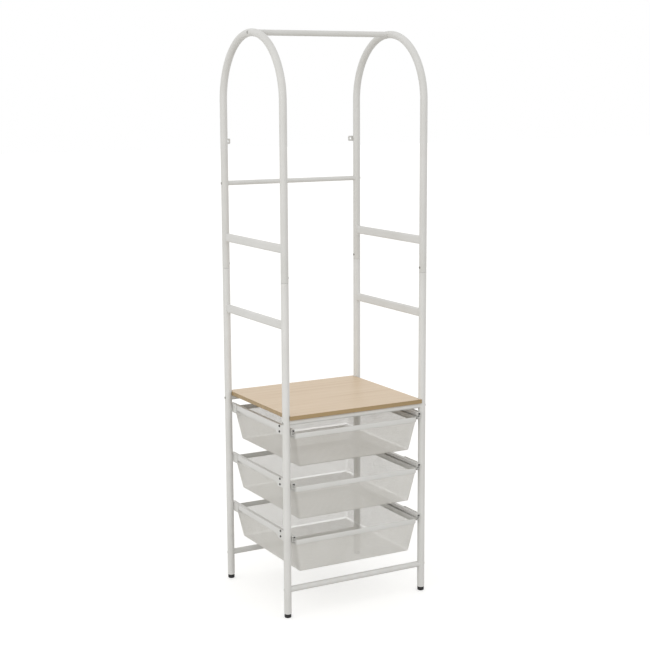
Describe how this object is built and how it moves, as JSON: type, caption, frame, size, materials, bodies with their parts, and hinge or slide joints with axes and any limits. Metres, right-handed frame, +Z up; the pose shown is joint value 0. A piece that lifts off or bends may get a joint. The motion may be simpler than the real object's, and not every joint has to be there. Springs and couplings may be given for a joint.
{
  "type": "clothes rack with drawers",
  "caption": "Tall narrow clothes rack of white steel tube with arched sides, a hanging rail, a wood-effect shelf and mesh drawers below that slide out to the front.",
  "frame": {"origin": "on the floor, at the middle of the footprint", "axes": "+Z up, -Y to the front where the drawers open, +X to the right of someone facing the front"},
  "size_m": [0.484, 0.414, 1.7],
  "materials": {
    "white_powder_coat": "satin warm white powder coat",
    "white_mesh": "satin white coated wire mesh",
    "oak_effect_board": "matt pale wood effect on board",
    "black_plastic": "matt black",
    "bare_steel": "zinc plated",
    "dark_zinc": "dark zinc plated"
  },
  "bodies": {
    "frame": {"arch_left": "white_powder_coat", "wall_lug_left": "white_powder_coat", "rung_upper_left": "white_powder_coat", "rung_lower_left": "white_powder_coat", "arch_right": "white_powder_coat", "wall_lug_right": "white_powder_coat", "rung_upper_right": "white_powder_coat", "rung_lower_right": "white_powder_coat", "shelf_rail_front": "white_powder_coat", "base_rail_front": "white_powder_coat", "post_front_left": "white_powder_coat", "spigot_front_left": "bare_steel", "foot_front_left": "black_plastic", "lock_screw_front_left": "dark_zinc", "post_front_right": "white_powder_coat", "spigot_front_right": "bare_steel", "foot_front_right": "black_plastic", "lock_screw_front_right": "dark_zinc", "shelf_rail_rear": "white_powder_coat", "base_rail_rear": "white_powder_coat", "post_rear_left": "white_powder_coat", "spigot_rear_left": "bare_steel", "foot_rear_left": "black_plastic", "lock_screw_rear_left": "dark_zinc", "post_rear_right": "white_powder_coat", "spigot_rear_right": "bare_steel", "foot_rear_right": "black_plastic", "lock_screw_rear_right": "dark_zinc", "hanging_rail": "white_powder_coat", "rear_rail": "white_powder_coat", "shelf_board": "oak_effect_board", "runner_bottom_left": "white_powder_coat", "bracket_bottom_front_left": "white_powder_coat", "bracket_bottom_rear_left": "white_powder_coat", "runner_bottom_right": "white_powder_coat", "bracket_bottom_front_right": "white_powder_coat", "bracket_bottom_rear_right": "white_powder_coat", "runner_middle_left": "white_powder_coat", "bracket_middle_front_left": "white_powder_coat", "bracket_middle_rear_left": "white_powder_coat", "runner_middle_right": "white_powder_coat", "bracket_middle_front_right": "white_powder_coat", "bracket_middle_rear_right": "white_powder_coat", "runner_top_left": "white_powder_coat", "bracket_top_front_left": "white_powder_coat", "bracket_top_rear_left": "white_powder_coat", "runner_top_right": "white_powder_coat", "bracket_top_front_right": "white_powder_coat", "bracket_top_rear_right": "white_powder_coat"},
    "drawer_bottom": {"drawer_rim_bottom": "white_powder_coat", "drawer_basket_bottom": "white_mesh"},
    "drawer_middle": {"drawer_rim_middle": "white_powder_coat", "drawer_basket_middle": "white_mesh"},
    "drawer_top": {"drawer_rim_top": "white_powder_coat", "drawer_basket_top": "white_mesh"}
  },
  "joints": [
    {"name": "drawer_bottom_slide", "type": "slide", "parent": "frame", "child": "drawer_bottom", "axis": [0, -1, 0], "range_m": [0, 0.28]},
    {"name": "drawer_middle_slide", "type": "slide", "parent": "frame", "child": "drawer_middle", "axis": [0, -1, 0], "range_m": [0, 0.28]},
    {"name": "drawer_top_slide", "type": "slide", "parent": "frame", "child": "drawer_top", "axis": [0, -1, 0], "range_m": [0, 0.28]}
  ]
}
